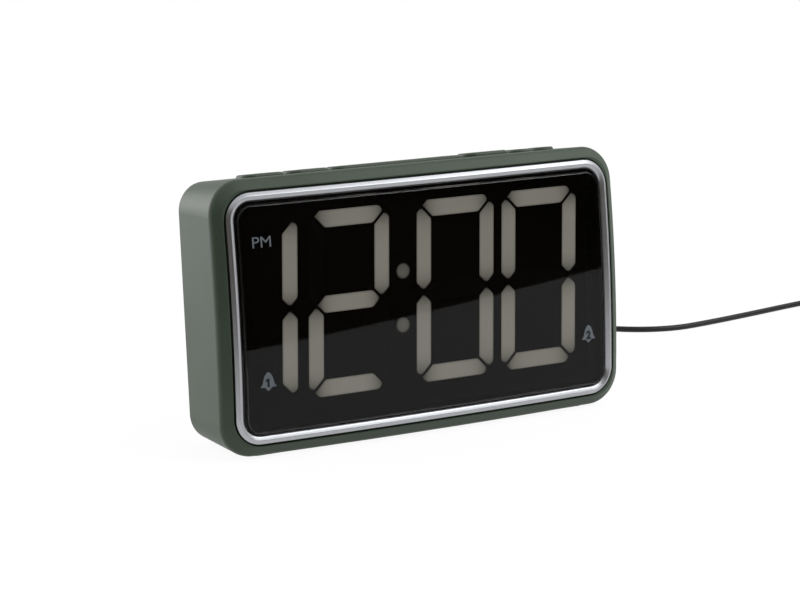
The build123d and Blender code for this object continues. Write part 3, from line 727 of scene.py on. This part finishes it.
turn_side = 1
for layer, half_turns in enumerate(coil_half_turns):
    steps = [coil_step * (-1 if layer % 2 == 0 else 1)] * half_turns
    if layer:
        steps.insert(0, 0.0)
    for index, step in enumerate(steps):
        climb = coil_rise if layer and index == 0 else 0.0
        reach = (turn_radius + step / 2) / cos(pi / (2 * half_turn_points))
        for point in range(half_turn_points):
            angle = pi * point / half_turn_points
            cord_way.append((
                coil_middle[0] + turn_side * (reach * cos(angle) - step / 2),
                coil_middle[1] - turn_side * reach * sin(angle),
                turn_level + climb * (1 - cos(angle)) / 2,
            ))
        turn_radius += step
        turn_level += climb
        turn_side = -turn_side
cord_way += [
    (278.24, 49.44, 11.35),
    (278.24, 47.04, 11.35),
    (278.24, 36.24, 11.35),
    (278.84, 25.44, 8.95),
    (279.44, 14.64, 5.65),
    (279.74, 3.84, 3.85),
    (279.74, -5.88, 3.85),
]
cord_curve = bpy.data.curves.new("supply_lead", "CURVE")
cord_curve.dimensions = "3D"
lead_line = cord_curve.splines.new("NURBS")
lead_line.points.add(len(cord_way) - 1)
for point, spot in zip(lead_line.points, cord_way):
    point.co = (*(Vector(spot) * mm), 1.0)
lead_line.order_u = 3
lead_line.use_endpoint_u = True
lead_line.resolution_u = 6
cord_curve.bevel_depth = cord_thickness / 2
cord_curve.bevel_resolution = 4
cord_curve.use_fill_caps = True
supply_lead = bpy.data.objects.new("supply_lead", cord_curve)
bpy.context.scene.collection.objects.link(supply_lead)
cord_jacket = moulded_plastic("cord_jacket", (0.008, 0.008, 0.008), (0.013, 0.013, 0.013), gloss=(0.36, 0.5),
                              cloud=400.0, grain=1500.0, shine=0.3)
tie_strap = moulded_plastic("tie_strap", (0.016, 0.016, 0.016), (0.026, 0.026, 0.026), gloss=(0.6, 0.75))
plug_black = moulded_plastic("plug_black", (0.011, 0.011, 0.011), (0.018, 0.018, 0.018))
tongue_white = moulded_plastic("tongue_white", (0.66, 0.66, 0.64), (0.72, 0.72, 0.70))
cord_curve.materials.append(cord_jacket)
dress(cord_jacket, "cord_relief")
dress(tie_strap, "cord_tie")
dress(plug_black, "plug_grip")
dress(bright_steel, "plug_shell")
dress(tongue_white, "plug_tongue")

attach(supply_lead, "clock")
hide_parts("power_cord", "cord_coil", "plug_lead")

# Table: a white sheet that reads as pure white to the eye and in gloss, and still takes a faint contact
# shadow. It runs on past the picture on all sides.
table_size = 8.0
table_shadow = 0.12
table_white = 1.06


def add_stage(name, form, material):
    """Turn a finished form into a thing that stands round the clock."""
    mesh = bpy.data.meshes.new(name)
    form.to_mesh(mesh)
    form.free()
    mesh.materials.append(material)
    thing = bpy.data.objects.new(name, mesh)
    bpy.context.scene.collection.objects.link(thing)
    return thing


white_sheet, sheet_nodes, sheet_links, sheet_shader = new_finish("white_sheet")
sheet_nodes.remove(sheet_shader)
sheet_paper = sheet_nodes.new("ShaderNodeBsdfDiffuse")
sheet_paper.inputs["Color"].default_value = (0.6, 0.6, 0.6, 1)
sheet_white = sheet_nodes.new("ShaderNodeEmission")
sheet_white.inputs["Strength"].default_value = table_white
sheet_rays = sheet_nodes.new("ShaderNodeLightPath")
sheet_gloss = sheet_nodes.new("ShaderNodeMath")
sheet_gloss.operation = "ADD"
sheet_seen = sheet_nodes.new("ShaderNodeMath")
sheet_seen.operation = "ADD"
sheet_seen.use_clamp = True
sheet_share = sheet_nodes.new("ShaderNodeMath")
sheet_share.operation = "MULTIPLY"
sheet_share.inputs[1].default_value = 1 - table_shadow
sheet_mix = sheet_nodes.new("ShaderNodeMixShader")
sheet_links.new(sheet_rays.outputs["Is Glossy Ray"], sheet_gloss.inputs[0])
sheet_links.new(sheet_rays.outputs["Is Transmission Ray"], sheet_gloss.inputs[1])
sheet_links.new(sheet_rays.outputs["Is Camera Ray"], sheet_seen.inputs[0])
sheet_links.new(sheet_gloss.outputs["Value"], sheet_seen.inputs[1])
sheet_links.new(sheet_seen.outputs["Value"], sheet_share.inputs[0])
sheet_links.new(sheet_share.outputs["Value"], sheet_mix.inputs["Fac"])
sheet_links.new(sheet_paper.outputs["BSDF"], sheet_mix.inputs[1])
sheet_links.new(sheet_white.outputs["Emission"], sheet_mix.inputs[2])
sheet_links.new(sheet_mix.outputs["Shader"], sheet_nodes["Material Output"].inputs["Surface"])
table_form = bmesh.new()
bmesh.ops.create_grid(table_form, x_segments=1, y_segments=1, size=table_size / 2)
add_stage("table", table_form, white_sheet)

# Light: a white room, one soft box high up at the right, another low at the left behind the clock, and a
# board in front, black towards the clock to keep the window dark. Its other side glows as bright as the room,
# as painted light, so that the board throws no shade on the table. The board isn't seen itself.
room_level = 0.88
flag_reach = 0.265
flag_back = 0.75
flag_left = 0.35
flag_left_top = 0.7
flag_right = 2.4
flag_right_top = 0.4
flag_low = 0.001
box_aim = Vector((0, 0, 0.05))
flag_turn = Matrix.Rotation(camera_heading, 3, "Z")
flag_form = bmesh.new()
flag_corners = []
for along, reach, height in (
    (-flag_left, flag_reach, flag_low),
    (flag_right, flag_reach, flag_low),
    (flag_right, flag_back, flag_right_top),
    (-flag_left, flag_back, flag_left_top),
):
    flag_corners.append(flag_form.verts.new(flag_turn @ Vector((along, -reach, height))))
flag_form.faces.new(flag_corners)
flag_board, flag_nodes, flag_links, flag_shader = new_finish("flag_board")
flag_nodes.remove(flag_shader)
flag_black = flag_nodes.new("ShaderNodeBsdfDiffuse")
flag_black.inputs["Color"].default_value = (0.075, 0.062, 0.05, 1)
# The side away from the clock glows at the room's level instead of being lit: painted light that keeps the
# table under the board unshaded.
flag_back_glow = flag_nodes.new("ShaderNodeEmission")
flag_back_glow.inputs["Strength"].default_value = room_level
flag_side = flag_nodes.new("ShaderNodeNewGeometry")
flag_mix = flag_nodes.new("ShaderNodeMixShader")
flag_links.new(flag_side.outputs["Backfacing"], flag_mix.inputs["Fac"])
flag_links.new(flag_back_glow.outputs["Emission"], flag_mix.inputs[1])
flag_links.new(flag_black.outputs["BSDF"], flag_mix.inputs[2])
flag_links.new(flag_mix.outputs["Shader"], flag_nodes["Material Output"].inputs["Surface"])
flag = add_stage("black_flag", flag_form, flag_board)
flag.visible_camera = False
flag.visible_shadow = False

for name, spot, width, height, power in (
    ("front_box", (0.55, -0.5, 0.7), 0.9, 0.55, 5.2),
    ("side_box", (-0.49, 0.667, 0.22), 0.8, 0.5, 4.4),
):
    box_light = bpy.data.lights.new(name, "AREA")
    box_light.shape = "RECTANGLE"
    box_light.size = width
    box_light.size_y = height
    box_light.energy = power
    soft_box = bpy.data.objects.new(name, box_light)
    soft_box.location = spot
    soft_box.rotation_euler = (box_aim - soft_box.location).to_track_quat("-Z", "Y").to_euler()
    soft_box.visible_camera = False
    bpy.context.scene.collection.objects.link(soft_box)

room = bpy.data.worlds.new("white_room")
bpy.context.scene.world = room
room.use_nodes = True
room.node_tree.nodes["Background"].inputs["Color"].default_value = (1, 1, 1, 1)
room.node_tree.nodes["Background"].inputs["Strength"].default_value = room_level

bpy.context.scene.view_settings.view_transform = "Standard"
